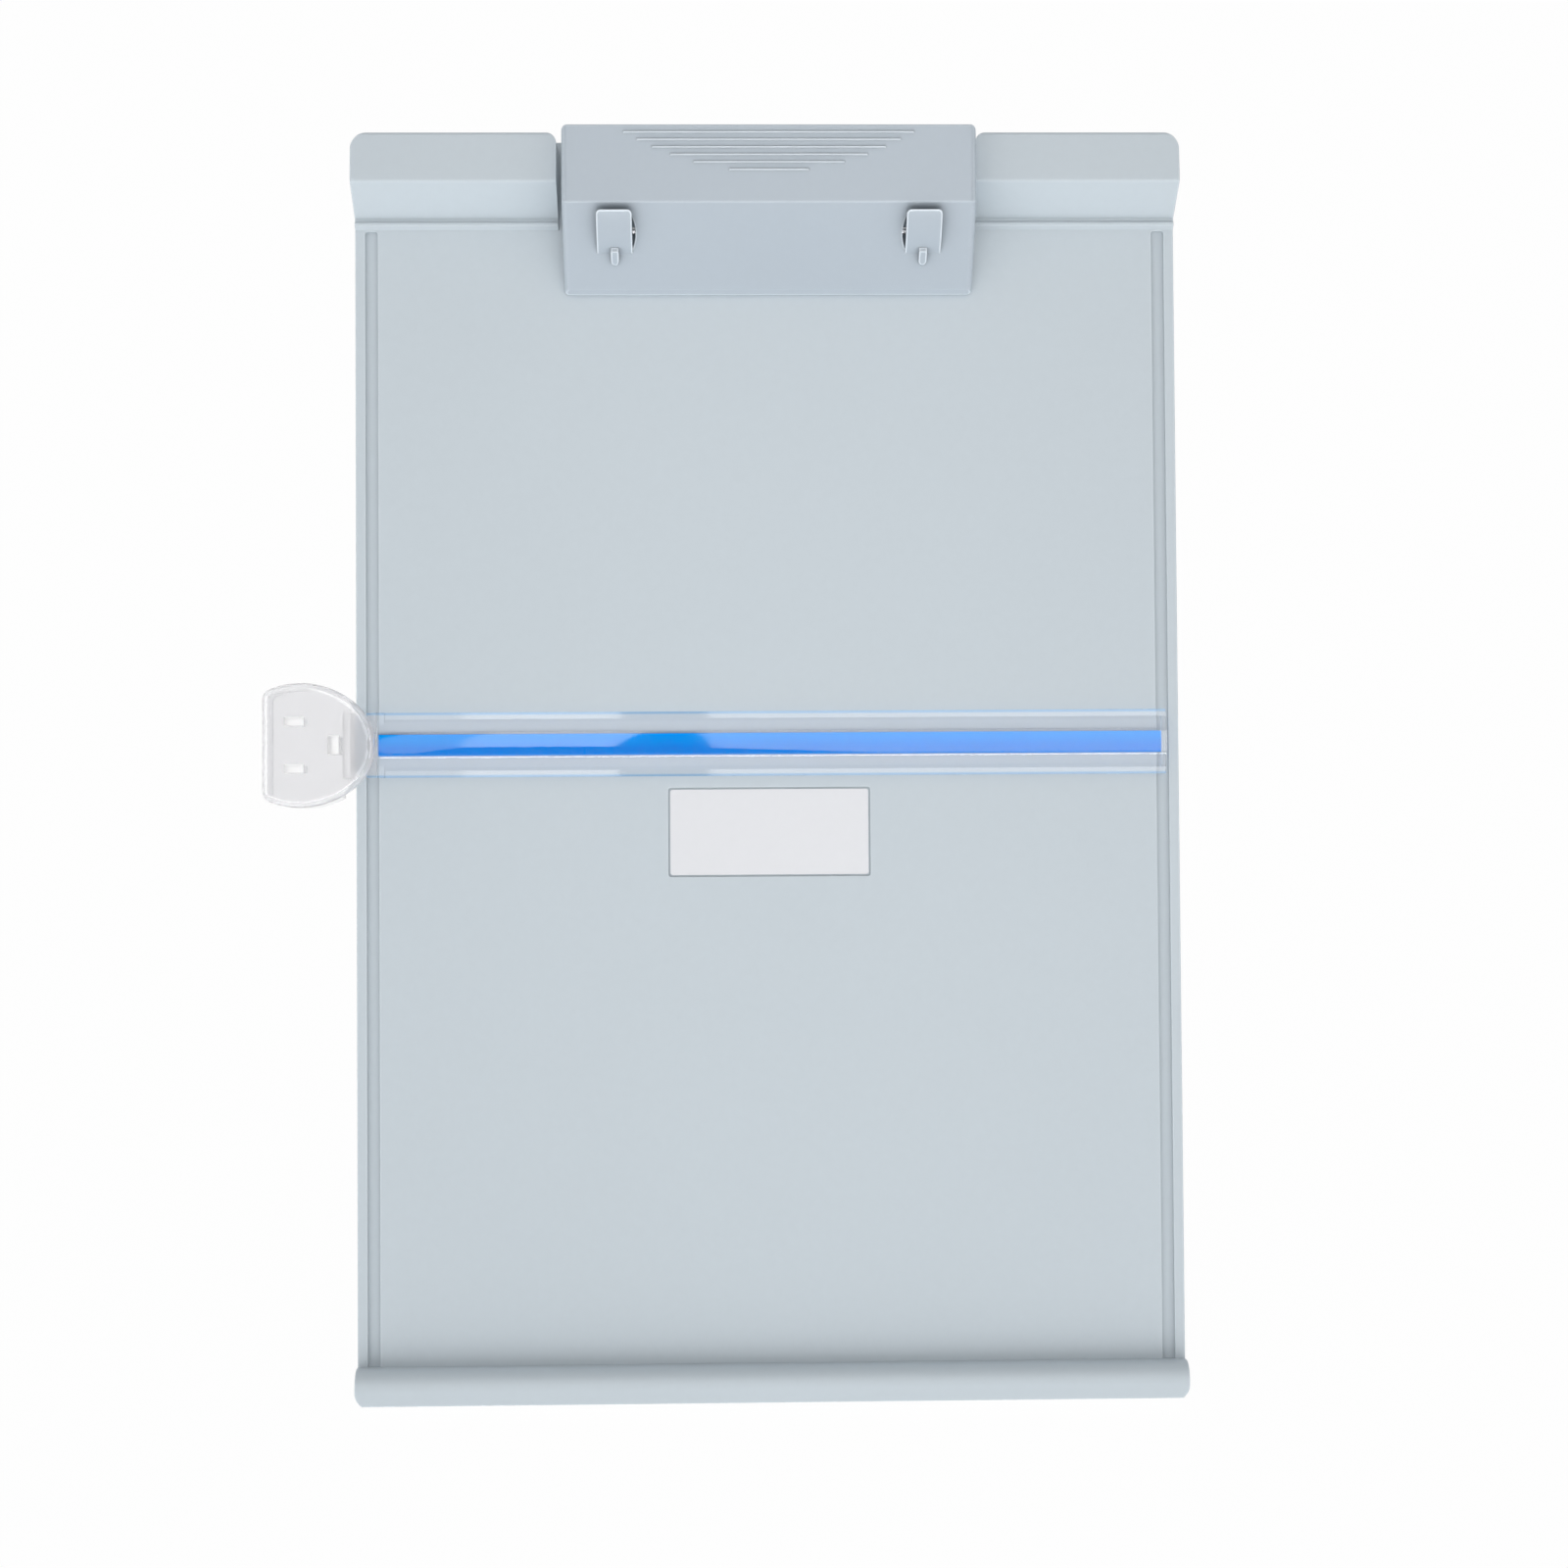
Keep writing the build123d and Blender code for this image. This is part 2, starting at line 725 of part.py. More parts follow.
samples_per_arc = 12
for side, name in ((-1, "clip_spring_left"), (1, "clip_spring_right")):
    with BuildPart() as clip_spring:
        with BuildLine() as coil:
            for turn in range(spring_half_turns):
                start, start_way = coil_station(side * spring_offset, turn)
                end, end_way = coil_station(side * spring_offset, turn + 1)
                joint, joint_way = biarc_joint(start, start_way, end, end_way)
                TangentArc(start, joint, tangent=start_way)
                TangentArc(joint, end, tangent=joint_way)
        first_spot, first_way = coil_station(side * spring_offset, 0)
        with BuildSketch(Plane(origin=first_spot, x_dir=across, z_dir=first_way)):
            RegularPolygon(spring_wire / 2, side_count=spring_wire_sides)
        sweep(path=coil.wire(), clean=False)
    wire_points = [arc @ (step / samples_per_arc) for arc in coil.edges() for step in range(samples_per_arc)]
    turn_points = 3 * samples_per_arc
    least_gap = min(
        (wire_points[i] - wire_points[j]).length - spring_wire
        for i in range(len(wire_points))
        for j in range(i + turn_points, len(wire_points))
    )
    print(name, "least gap to itself", round(least_gap, 2), "mm")
    finish(clip_spring, name, clip_shift)

# Line guide bar: clear strip with a low dome, a foot in the right groove and a tenon on the left
bar_left = guide_left_gap - groove_inner
bar_right = groove_outer - guide_right_gap
flange_top = guide_lift + guide_flange
dome_half = guide_dome_width / 2
tenon_left = tongue_gap - groove_outer
with BuildPart() as guide_bar:
    with BuildSketch(side_plane(bar_left)):
        with Locations((guide_height, guide_lift + guide_flange / 2)):
            Rectangle(guide_width, guide_flange)
        with BuildLine():
            dome = ThreePointArc(
                (guide_height - dome_half, flange_top),
                (guide_height, flange_top + guide_dome_rise),
                (guide_height + dome_half, flange_top),
            )
            Line(dome @ 1, dome @ 0)
        make_face()
        with Locations((guide_height, guide_lift + stripe_pocket / 2)):
            Rectangle(stripe_width + 2 * stripe_fit, stripe_pocket, mode=Mode.SUBTRACT)
    extrude(amount=bar_right - bar_left)
    with BuildSketch(side_plane(bar_right - foot_thickness)):
        foot_bottom = slide_gap - groove_depth
        with Locations((guide_height, (foot_bottom + guide_lift + stripe_pocket) / 2)):
            Rectangle(foot_length, guide_lift + stripe_pocket - foot_bottom)
    extrude(amount=foot_thickness)
    with BuildSketch(face_plane(flange_top)):
        with Locations(((tenon_left + bar_left + foot_reach) / 2, guide_height)):
            Rectangle(bar_left + foot_reach - tenon_left, guide_width)
    extrude(amount=tenon_thickness)
finish(guide_bar, "guide_bar")

# Blue reading line in its pocket under the bar
stripe_right = bar_right - foot_thickness - stripe_inset
with BuildPart() as guide_stripe:
    with BuildSketch(face_plane(guide_lift + stripe_pocket - stripe_thickness)):
        with Locations(((bar_left + stripe_right) / 2, guide_height)):
            Rectangle(stripe_right - bar_left, stripe_width)
    extrude(amount=stripe_thickness)
finish(guide_stripe, "guide_stripe")

# Knob outline, as (u, v): a round nose towards the board, two flanks and a flat far side
knob_tip = knob_overlap - half_board
knob_far = knob_tip - knob_length
carriage_inner = -half_board - brake_room
carriage_outer = carriage_inner - slide_wall
with BuildSketch() as knob_plan:
    with BuildLine():
        nose_middle = (knob_tip - knob_nose_radius, guide_height)
        knob_nose = CenterArc(nose_middle, knob_nose_radius, -knob_nose_angle, 2 * knob_nose_angle)
        upper_end = (knob_far, guide_height + knob_flat_height / 2)
        lower_end = (knob_far, guide_height - knob_flat_height / 2)
        TangentArc(knob_nose @ 1, upper_end, tangent=knob_nose % 1)
        TangentArc(knob_nose @ 0, lower_end, tangent=-(knob_nose % 0))
        Line(upper_end, lower_end)
    make_face()
    fillet(knob_plan.vertices().group_by(Axis.X)[0], knob_flat_corner)


# The three slots in the knob's top, shrunk by a gap for the tabs that stand in them
def knob_slots(gap):
    with Locations(
        (knob_tip - slot_pair_inset, guide_height + slot_pair_rise),
        (knob_tip - slot_pair_inset, guide_height - slot_pair_rise),
    ):
        Rectangle(slot_pair_width - 2 * gap, slot_pair_height - 2 * gap)
    with Locations((knob_tip - slot_single_inset, guide_height)):
        Rectangle(slot_single_width - 2 * gap, slot_single_height - 2 * gap)


# Slide knob: clear cap, open below, cut back where it passes over the rail and the bar
with BuildPart() as guide_knob:
    with BuildSketch(face_plane(-knob_skirt)):
        add(knob_plan.sketch)
    extrude(amount=knob_skirt + knob_top)
    fillet(guide_knob.faces().sort_by(Axis(place(0, 0, 0), out))[-1].edges(), knob_round)
    with BuildSketch(face_plane(-knob_skirt)):
        add(knob_plan.sketch)
        offset(amount=-knob_wall, mode=Mode.REPLACE)
    extrude(amount=knob_skirt + knob_top - knob_wall, mode=Mode.SUBTRACT)
    over_board = knob_tip - carriage_outer + knob_fit
    with BuildSketch(face_plane(-knob_skirt)):
        with Locations((carriage_outer - knob_fit + over_board / 2, guide_height)):
            Rectangle(over_board, 2 * knob_length)
    extrude(amount=knob_skirt + flange_top + tenon_thickness + knob_fit, mode=Mode.SUBTRACT)
    with BuildSketch(face_plane(knob_top)):
        knob_slots(0)
    extrude(amount=-knob_wall, mode=Mode.SUBTRACT)
finish(guide_knob, "guide_knob")

# Slide carriage: wraps the left rail, with a tongue in the groove, and closes the knob from below
tongue_left = tongue_gap - groove_outer
tongue_right = -groove_inner - 2 * tongue_gap
lip_left = slide_gap - groove_outer
hook_front = -board_depth - slide_gap
hook_back = hook_front - hook_thickness
with BuildPart() as guide_carriage:
    with BuildSketch(cross_plane(guide_height)):
        with BuildLine():
            Polyline(
                (carriage_outer, flange_top),
                (tongue_right, flange_top),
                (tongue_right, slide_gap - groove_depth),
                (tongue_left, slide_gap - groove_depth),
                (tongue_left, slide_gap),
                (carriage_inner, slide_gap),
                (carriage_inner, hook_front),
                (lip_left, hook_front),
                (lip_left, hook_front + hook_lip_height),
                (lip_left + hook_lip, hook_front + hook_lip_height),
                (lip_left + hook_lip, hook_back),
                (carriage_outer, hook_back),
                close=True,
            )
        make_face()
    extrude(amount=guide_width / 2, both=True)
    with BuildSketch(face_plane(-knob_skirt)):
        add(knob_plan.sketch)
        offset(amount=-knob_wall - knob_fit, mode=Mode.REPLACE)
        with Locations((carriage_outer + slide_wall / 2 + knob_length / 2, guide_height)):
            Rectangle(knob_length, 2 * knob_length, mode=Mode.SUBTRACT)
    extrude(amount=floor_thickness)
    with BuildSketch(face_plane(-knob_skirt)):
        knob_slots(tab_gap)
    extrude(amount=knob_skirt + knob_top - knob_wall / 2)
finish(guide_carriage, "guide_carriage")

# Brake leaf, bowed between the carriage's wall and the rail
brake_bow = brake_room - brake_thickness - brake_gap
with BuildPart() as guide_brake_spring:
    with BuildSketch(face_plane(-board_depth / 2 - brake_width / 2)):
        with BuildLine():
            wall_side = ThreePointArc(
                (carriage_inner, guide_height - brake_length / 2),
                (carriage_inner + brake_bow, guide_height),
                (carriage_inner, guide_height + brake_length / 2),
            )
            rail_side = ThreePointArc(
                (carriage_inner + brake_thickness, guide_height - brake_length / 2),
                (carriage_inner + brake_bow + brake_thickness, guide_height),
                (carriage_inner + brake_thickness, guide_height + brake_length / 2),
            )
            Line(wall_side @ 0, rail_side @ 0)
            Line(wall_side @ 1, rail_side @ 1)
        make_face()
    extrude(amount=brake_width)
finish(guide_brake_spring, "guide_brake_spring")

# Easel leg, in its own directions: x across, y up the leg from the hinge, q towards the board
leg_tilt = radians(leg_open - lean)
leg_hinge = place(0, leg_hinge_height, -leg_hinge_depth)
leg_up = Vector(0, -sin(leg_tilt), cos(leg_tilt))
leg_inward = across.cross(leg_up)
leg_length = leg_hinge.Z / cos(leg_tilt)


def leg_plane(q=0):
    return Plane(origin=leg_hinge + leg_inward * q, x_dir=across, z_dir=leg_inward)


def leg_side(x=0):
    return Plane(origin=leg_hinge + across * x, x_dir=leg_up, z_dir=across)


def leg_outline(sketch):
    Polygon(
        (-leg_top_width / 2, -leg_top_gap),
        (-leg_foot_width / 2, -leg_length),
        (leg_foot_width / 2, -leg_length),
        (leg_top_width / 2, -leg_top_gap),
        align=None,
    )
    fillet(sketch.vertices().group_by(Axis.Y)[0], leg_corner)


with BuildPart() as easel_leg:
    with BuildSketch(leg_plane(-leg_outer)) as leg_sheet:
        leg_outline(leg_sheet)
    extrude(amount=leg_plate)
    with BuildSketch(leg_plane(-leg_outer)) as leg_frame:
        leg_outline(leg_frame)
        offset(amount=-leg_rim, mode=Mode.SUBTRACT)
    extrude(amount=leg_outer + leg_rim_rise)
    with BuildSketch(leg_plane(-leg_outer)) as leg_foot_bar:
        leg_outline(leg_foot_bar)
        with Locations((0, (leg_bar - leg_length) / 2)):
            Rectangle(leg_foot_width, leg_length - leg_bar, mode=Mode.SUBTRACT)
    extrude(amount=leg_outer + leg_rim_rise)
    for side in (-1, 1):
        with BuildSketch(leg_plane(leg_plate - leg_outer)):
            with Locations((side * leg_rib_offset, -(leg_length + leg_top_gap) / 2)):
                Rectangle(leg_rib_thickness, leg_length - leg_top_gap)
        extrude(amount=leg_rib_height)
        with BuildSketch(leg_side(side * knuckle_offset - knuckle_width / 2)):
            Circle(knuckle_radius)
            with Locations((-leg_top_gap - leg_rim / 2, (leg_rim_rise - leg_outer) / 2)):
                Rectangle(leg_rim, leg_outer + leg_rim_rise)
            make_hull()
        extrude(amount=knuckle_width)
        heel_rise = leg_hinge_depth - panel_thickness - heel_gap
        with BuildSketch(side_plane(side * knuckle_offset - knuckle_width / 2)):
            with Locations((leg_hinge_height + heel_length / 2, heel_rise / 2 - leg_hinge_depth)):
                Rectangle(heel_length, heel_rise)
        extrude(amount=knuckle_width)
        with BuildSketch(leg_side(side * knuckle_offset - knuckle_width / 2)):
            Circle(leg_pin_radius + pin_fit)
        extrude(amount=knuckle_width, mode=Mode.SUBTRACT)
    with BuildSketch(leg_plane(-leg_outer)):
        with Locations((0, -leg_length)):
            Circle(notch_radius)
    extrude(amount=leg_outer + leg_rim_rise, mode=Mode.SUBTRACT)
    split(bisect_by=Plane.XY.offset(leg_pad_thickness), keep=Keep.TOP)
finish(easel_leg, "easel_leg")

# Leg hinge pins, held in the board's lugs
leg_pin_length = knuckle_width + 2 * (lug_gap + lug_thickness)
for side, name in ((-1, "leg_pin_left"), (1, "leg_pin_right")):
    with BuildPart() as leg_pin:
        with BuildSketch(side_plane(side * knuckle_offset - leg_pin_length / 2)):
            with Locations((leg_hinge_height, -leg_hinge_depth)):
                Circle(leg_pin_radius)
        extrude(amount=leg_pin_length)
    finish(leg_pin, name)

# Rubber pads under the leg, level with the desk
leg_sole = leg_hinge - leg_up * leg_length
with BuildPart() as leg_feet:
    with BuildSketch(Plane.XY):
        pad_offset = leg_foot_width / 2 - leg_pad_inset - leg_pad_length / 2
        with Locations((-pad_offset, leg_sole.Y), (pad_offset, leg_sole.Y)):
            Rectangle(leg_pad_length, leg_pad_width)
    extrude(amount=leg_pad_thickness)
finish(leg_feet, "leg_feet")
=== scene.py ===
import bmesh
import bpy
from math import pi, radians
from mathutils import Matrix, Vector


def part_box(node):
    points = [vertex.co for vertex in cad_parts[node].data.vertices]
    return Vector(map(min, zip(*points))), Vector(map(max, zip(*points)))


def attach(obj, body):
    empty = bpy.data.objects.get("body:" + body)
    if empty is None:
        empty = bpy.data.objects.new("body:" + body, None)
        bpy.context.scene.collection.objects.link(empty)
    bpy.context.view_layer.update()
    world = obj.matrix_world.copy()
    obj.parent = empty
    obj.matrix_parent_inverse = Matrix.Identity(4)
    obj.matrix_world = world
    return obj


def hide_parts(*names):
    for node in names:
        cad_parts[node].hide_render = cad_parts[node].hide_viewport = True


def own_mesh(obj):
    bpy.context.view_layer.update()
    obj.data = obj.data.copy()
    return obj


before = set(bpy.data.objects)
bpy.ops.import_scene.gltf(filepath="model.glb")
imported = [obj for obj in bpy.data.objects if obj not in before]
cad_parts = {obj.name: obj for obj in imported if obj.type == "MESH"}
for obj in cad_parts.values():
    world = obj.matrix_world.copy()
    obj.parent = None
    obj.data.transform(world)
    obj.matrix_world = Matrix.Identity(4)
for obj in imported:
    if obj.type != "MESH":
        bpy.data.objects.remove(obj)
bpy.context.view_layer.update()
print("frame loaded:", len(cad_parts), "nodes")

# The board's own directions: x across, y up the board, z out of the panel, from the foot of the panel
stance = {"lean": 20.0, "foot": (0.0, -0.004789, 0.0006)}
boardFrame = Matrix.Translation(stance["foot"]) @ Matrix.Rotation(radians(90.0 - stance["lean"]), 4, "X")
outward = (boardFrame.to_3x3() @ Vector((0, 0, 1))).normalized()
upward = (boardFrame.to_3x3() @ Vector((0, 1, 0))).normalized()


def newObject(name, data):
    thing = bpy.data.objects.new(name, data)
    bpy.context.scene.collection.objects.link(thing)
    return thing


# A shader node with its settings made and its inputs set or linked
def addNode(tree, kind, inputs=None, **settings):
    node = tree.nodes.new("ShaderNode" + kind)
    for name, value in settings.items():
        setattr(node, name, value)
    for key, value in (inputs or {}).items():
        if isinstance(value, bpy.types.NodeSocket):
            tree.links.new(value, node.inputs[key])
        else:
            node.inputs[key].default_value = value
    return node


def rgba(colour):
    return (*colour, 1.0)


def reckon(tree, operation, *values):
    return addNode(tree, "Math", dict(enumerate(values)), operation=operation).outputs[0]


def dotProduct(tree, first, second):
    return addNode(tree, "VectorMath", {0: first, 1: second}, operation="DOT_PRODUCT").outputs["Value"]


def scaled(tree, colour, factor):
    return addNode(tree, "VectorMath", {0: colour, "Scale": factor}, operation="SCALE").outputs[0]


def blend(tree, share, first, second):
    return addNode(tree, "MixRGB", {0: share, 1: first, 2: second}).outputs[0]


def remap(tree, value, source=(0.0, 1.0), target=(0.0, 1.0)):
    ends = {"From Min": source[0], "From Max": source[1], "To Min": target[0], "To Max": target[1]}
    return addNode(tree, "MapRange", {"Value": value, **ends}).outputs["Result"]


def noise(tree, place, look):
    return addNode(tree, "TexNoise", {"Vector": place, **look}).outputs["Fac"]


def objectPlace(tree):
    return addNode(tree, "TexCoord").outputs["Object"]


def newMaterial(name):
    material = bpy.data.materials.new(name)
    material.use_nodes = True
    tree = material.node_tree
    tree.nodes.clear()
    return material, tree, addNode(tree, "OutputMaterial").inputs["Surface"]


def newGroup(name, inputs, outputs):
    group = bpy.data.node_groups.new(name, "ShaderNodeTree")
    for label, kind, default in inputs:
        socket = group.interface.new_socket(name=label, in_out="INPUT", socket_type=kind)
        socket.default_value = default
    for label, kind in outputs:
        group.interface.new_socket(name=label, in_out="OUTPUT", socket_type=kind)
    return group, group.nodes.new("NodeGroupInput").outputs, group.nodes.new("NodeGroupOutput").inputs


# Moulded skin: cloudy tone, fine satin grain and the faint drift of a large flat moulding
skinLook = {
    "cloud": {"Scale": 14.0, "Detail": 3.0, "Roughness": 0.5},
    "fleck": {"Scale": 420.0, "Detail": 2.0},
    "grainDetail": 2.0,
    "roughDrift": 0.06,
}


def mouldedSkinGroup(look):
    group, given, result = newGroup(
        "mouldedSkin",
        [
            ("Colour", "NodeSocketColor", (0.5, 0.5, 0.5, 1.0)),
            ("Tone", "NodeSocketFloat", 0.03),
            ("Rough", "NodeSocketFloat", 0.5),
            ("Grain Scale", "NodeSocketFloat", 2500.0),
        ],
        [("Colour", "NodeSocketColor"), ("Rough", "NodeSocketFloat"), ("Height", "NodeSocketFloat")],
    )
    place = objectPlace(group)
    both = reckon(group, "ADD", noise(group, place, look["cloud"]), noise(group, place, look["fleck"]))
    drift = reckon(group, "SUBTRACT", both, 1.0)
    tone = reckon(group, "MULTIPLY_ADD", drift, given["Tone"], 1.0)
    rough = reckon(group, "MULTIPLY_ADD", drift, look["roughDrift"], given["Rough"])
    grain = noise(group, place, {"Scale": given["Grain Scale"], "Detail": look["grainDetail"]})
    group.links.new(scaled(group, given["Colour"], tone), result["Colour"])
    group.links.new(rough, result["Rough"])
    group.links.new(grain, result["Height"])
    return group


mouldedSkin = mouldedSkinGroup(skinLook)

# Painted highlight and painted shade: paler where a wall ends, as a painted highlight along convex edges, and
# dimmer where faces meet, as painted shade in hollows and corners
closeLook = {"samples": 8, "paintedHighlightRange": (0.985, 0.88), "paintedShadeRange": (0.4, 1.0)}


def nearOpenness(tree, reach, inside):
    settings = {"inside": inside, "only_local": True, "samples": closeLook["samples"]}
    return addNode(tree, "AmbientOcclusion", {"Distance": reach}, **settings).outputs["AO"]


def paintedHighlightAndShadeGroup(look):
    group, given, result = newGroup(
        "paintedHighlightAndShade",
        [
            ("Colour", "NodeSocketColor", (0.5, 0.5, 0.5, 1.0)),
            ("Painted Highlight Colour", "NodeSocketColor", (0.7, 0.7, 0.7, 1.0)),
            ("Painted Highlight Reach", "NodeSocketFloat", 0.0005),
            ("Painted Shade Reach", "NodeSocketFloat", 0.01),
            ("Painted Shade Depth", "NodeSocketFloat", 0.2),
        ],
        [("Colour", "NodeSocketColor")],
    )
    # Painted highlight: the colour turns paler along convex edges, where the wall below is thin
    paintedHighlight = remap(group, nearOpenness(group, given["Painted Highlight Reach"], True), look["paintedHighlightRange"])
    withPaintedHighlight = blend(group, paintedHighlight, given["Colour"], given["Painted Highlight Colour"])
    # Painted shade: the colour turns darker in hollows and where faces meet
    deepestPaintedShade = reckon(group, "SUBTRACT", 1.0, given["Painted Shade Depth"])
    paintedNookShade = nearOpenness(group, given["Painted Shade Reach"], False)
    paintedShadeFactor = remap(group, paintedNookShade, look["paintedShadeRange"], (deepestPaintedShade, 1.0))
    group.links.new(scaled(group, withPaintedHighlight, paintedShadeFactor), result["Colour"])
    return group


paintedHighlightAndShade = paintedHighlightAndShadeGroup(closeLook)

# Moulded plastic: soft edges, with painted highlights on rims and painted shade in nooks where the finish has
# them
mouldLook = {"ior": 1.47, "bumpDepth": 0.0001, "edgeSamples": 6, "plainSheen": 0.5}


def mouldedPlastic(name, finish):
    material, tree, surface = newMaterial(name)
    values = {"Tone": finish["tone"], "Rough": finish["rough"], "Grain Scale": finish["grain"]}
    skin = addNode(tree, "Group", {"Colour": rgba(finish["colour"]), **values}, node_tree=mouldedSkin).outputs
    edge = addNode(tree, "Bevel", {"Radius": finish["edge"]}, samples=mouldLook["edgeSamples"]).outputs[0]
    relief = {"Strength": finish["bump"], "Distance": mouldLook["bumpDepth"]}
    bump = addNode(tree, "Bump", {**relief, "Height": skin["Height"], "Normal": edge}).outputs[0]
    colour = skin["Colour"]
    # Painted highlight on convex edges and painted shade in hollows, worked into the base colour
    if "paintedHighlight" in finish:
        paintedHighlight = {"Painted Highlight Colour": rgba(finish["paintedHighlight"]["colour"]), "Painted Highlight Reach": finish["paintedHighlight"]["reach"]}
        paintedNookShade = {"Painted Shade Reach": finish["paintedNookShade"]["reach"], "Painted Shade Depth": finish["paintedNookShade"]["depth"]}
        colour = addNode(tree, "Group", {"Colour": colour, **paintedHighlight, **paintedNookShade}, node_tree=paintedHighlightAndShade).outputs[0]
    shader = addNode(
        tree,
        "BsdfPrincipled",
        {
            "Base Color": colour,
            "Roughness": skin["Rough"],
            "Normal": bump,
            "IOR": mouldLook["ior"],
            "Specular IOR Level": finish.get("sheen", mouldLook["plainSheen"]),
        },
    )
    # Painted glow: the finish gives off a faint light of its own, though the part is no lamp
    if "glow" in finish:
        shader.inputs["Emission Color"].default_value = rgba(finish["glow"])
        shader.inputs["Emission Strength"].default_value = 1.0
    tree.links.new(shader.outputs[0], surface)
    return material


boardFinish = {
    "colour": (0.571, 0.638, 0.686),
    "tone": 0.035,
    "rough": 0.48,
    "grain": 2600.0,
    "bump": 0.12,
    "edge": 0.0004,
    # painted highlight along the board's convex edges
    "paintedHighlight": {"reach": 0.0004, "colour": (0.64, 0.71, 0.76)},
    # painted shade in the board's hollows, grooves and the corner above the ledge
    "paintedNookShade": {"reach": 0.009, "depth": 0.14},
}
clipFinish = {
    "colour": (0.453, 0.515, 0.576),
    "tone": 0.03,
    "rough": 0.3,
    "grain": 2200.0,
    "bump": 0.08,
    "edge": 0.0004,
    # painted highlight along the clip's edges, ridge, ribs and hood rims
    "paintedHighlight": {"reach": 0.0005, "colour": (0.74, 0.81, 0.875)},
    # painted shade around the hoods and in the clip's corners
    "paintedNookShade": {"reach": 0.01, "depth": 0.42},
}
labelFinish = {
    "colour": (0.78, 0.79, 0.82),
    "tone": 0.02,
    "rough": 0.35,
    "grain": 5200.0,
    "bump": 0.06,
    "edge": 0.0001,
}
rubberFinish = {
    "colour": (0.03, 0.03, 0.033),
    "tone": 0.3,
    "rough": 0.75,
    "grain": 3000.0,
    "bump": 0.3,
    "edge": 0.0004,
}
filmFinish = {
    "colour": (0.002, 0.42, 1.0),
    # painted glow: a faint blue light of the film's own that brightens the stripe
    "glow": (0.0, 0.02, 0.08),
    "tone": 0.04,
    "rough": 0.3,
    "grain": 900.0,
    "bump": 0.02,
    "edge": 0.0001,
    "sheen": 0.0,
}

# Clear skin: slightly wavy, with a tint of its own on the flat faces
waveLook = {"Scale": 1.0, "Detail": 2.0}


def clearSkinGroup(look):
    group, given, result = newGroup(
        "clearSkin",
        [
            ("Colour", "NodeSocketColor", (1.0, 1.0, 1.0, 1.0)),
            ("Flat Colour", "NodeSocketColor", (1.0, 1.0, 1.0, 1.0)),
            ("Facing From", "NodeSocketFloat", 0.9),
            ("Facing To", "NodeSocketFloat", 1.0),
            ("Wave Scale", "NodeSocketVector", (70.0, 70.0, 70.0)),
            ("Rough Low", "NodeSocketFloat", 0.02),
            ("Rough High", "NodeSocketFloat", 0.05),
        ],
        [("Colour", "NodeSocketColor"), ("Rough", "NodeSocketFloat"), ("Height", "NodeSocketFloat")],
    )
    spread = addNode(group, "Mapping", {"Vector": objectPlace(group), "Scale": given["Wave Scale"]})
    wave = noise(group, spread.outputs[0], look)
    facing = dotProduct(group, addNode(group, "NewGeometry").outputs["True Normal"], outward)
    flat = remap(group, reckon(group, "ABSOLUTE", facing), (given["Facing From"], given["Facing To"]))
    rough = remap(group, wave, target=(given["Rough Low"], given["Rough High"]))
    group.links.new(blend(group, flat, given["Colour"], given["Flat Colour"]), result["Colour"])
    group.links.new(rough, result["Rough"])
    group.links.new(wave, result["Height"])
    return group


clearSkin = clearSkinGroup(waveLook)

# Clear plastic: shadow rays go straight through, and the bar has a line along each edge
clearLook = {"ior": 1.49, "waveDepth": 0.0004}


def clearPlastic(name, finish):
    material, tree, surface = newMaterial(name)
    tints = {"Colour": rgba(finish["colour"]), "Flat Colour": rgba(finish["flatColour"])}
    facing = dict(zip(("Facing From", "Facing To"), finish["facing"]))
    rough = dict(zip(("Rough Low", "Rough High"), finish["rough"]))
    values = {**tints, **facing, **rough, "Wave Scale": finish["waveScale"]}
    skin = addNode(tree, "Group", values, node_tree=clearSkin).outputs
    relief = {"Strength": finish["wave"], "Distance": clearLook["waveDepth"]}
    bump = addNode(tree, "Bump", {**relief, "Height": skin["Height"]}).outputs[0]
    colour = skin["Colour"]
    if "edgeLine" in finish:
        line = finish["edgeLine"]
        middle = upward.dot(Vector(stance["foot"])) + line["middle"]
        offset = reckon(tree, "SUBTRACT", dotProduct(tree, objectPlace(tree), upward), middle)
        ends = (line["half"] - line["width"], line["half"] - line["width"] / 2)
        near = remap(tree, reckon(tree, "ABSOLUTE", offset), ends)
        colour = blend(tree, near, colour, rgba(line["colour"]))
    clear = addNode(
        tree,
        "BsdfPrincipled",
        {
            "Base Color": colour,
            "Roughness": skin["Rough"],
            "IOR": clearLook["ior"],
            "Transmission Weight": finish["clear"],
            "Normal": bump,
        },
    )
    through = addNode(tree, "BsdfTransparent", {"Color": rgba(finish["shadow"])})
    shadowRay = addNode(tree, "LightPath").outputs["Is Shadow Ray"]
    mix = addNode(tree, "MixShader", {0: shadowRay, 1: clear.outputs[0], 2: through.outputs[0]})
    tree.links.new(mix.outputs[0], surface)
    return material


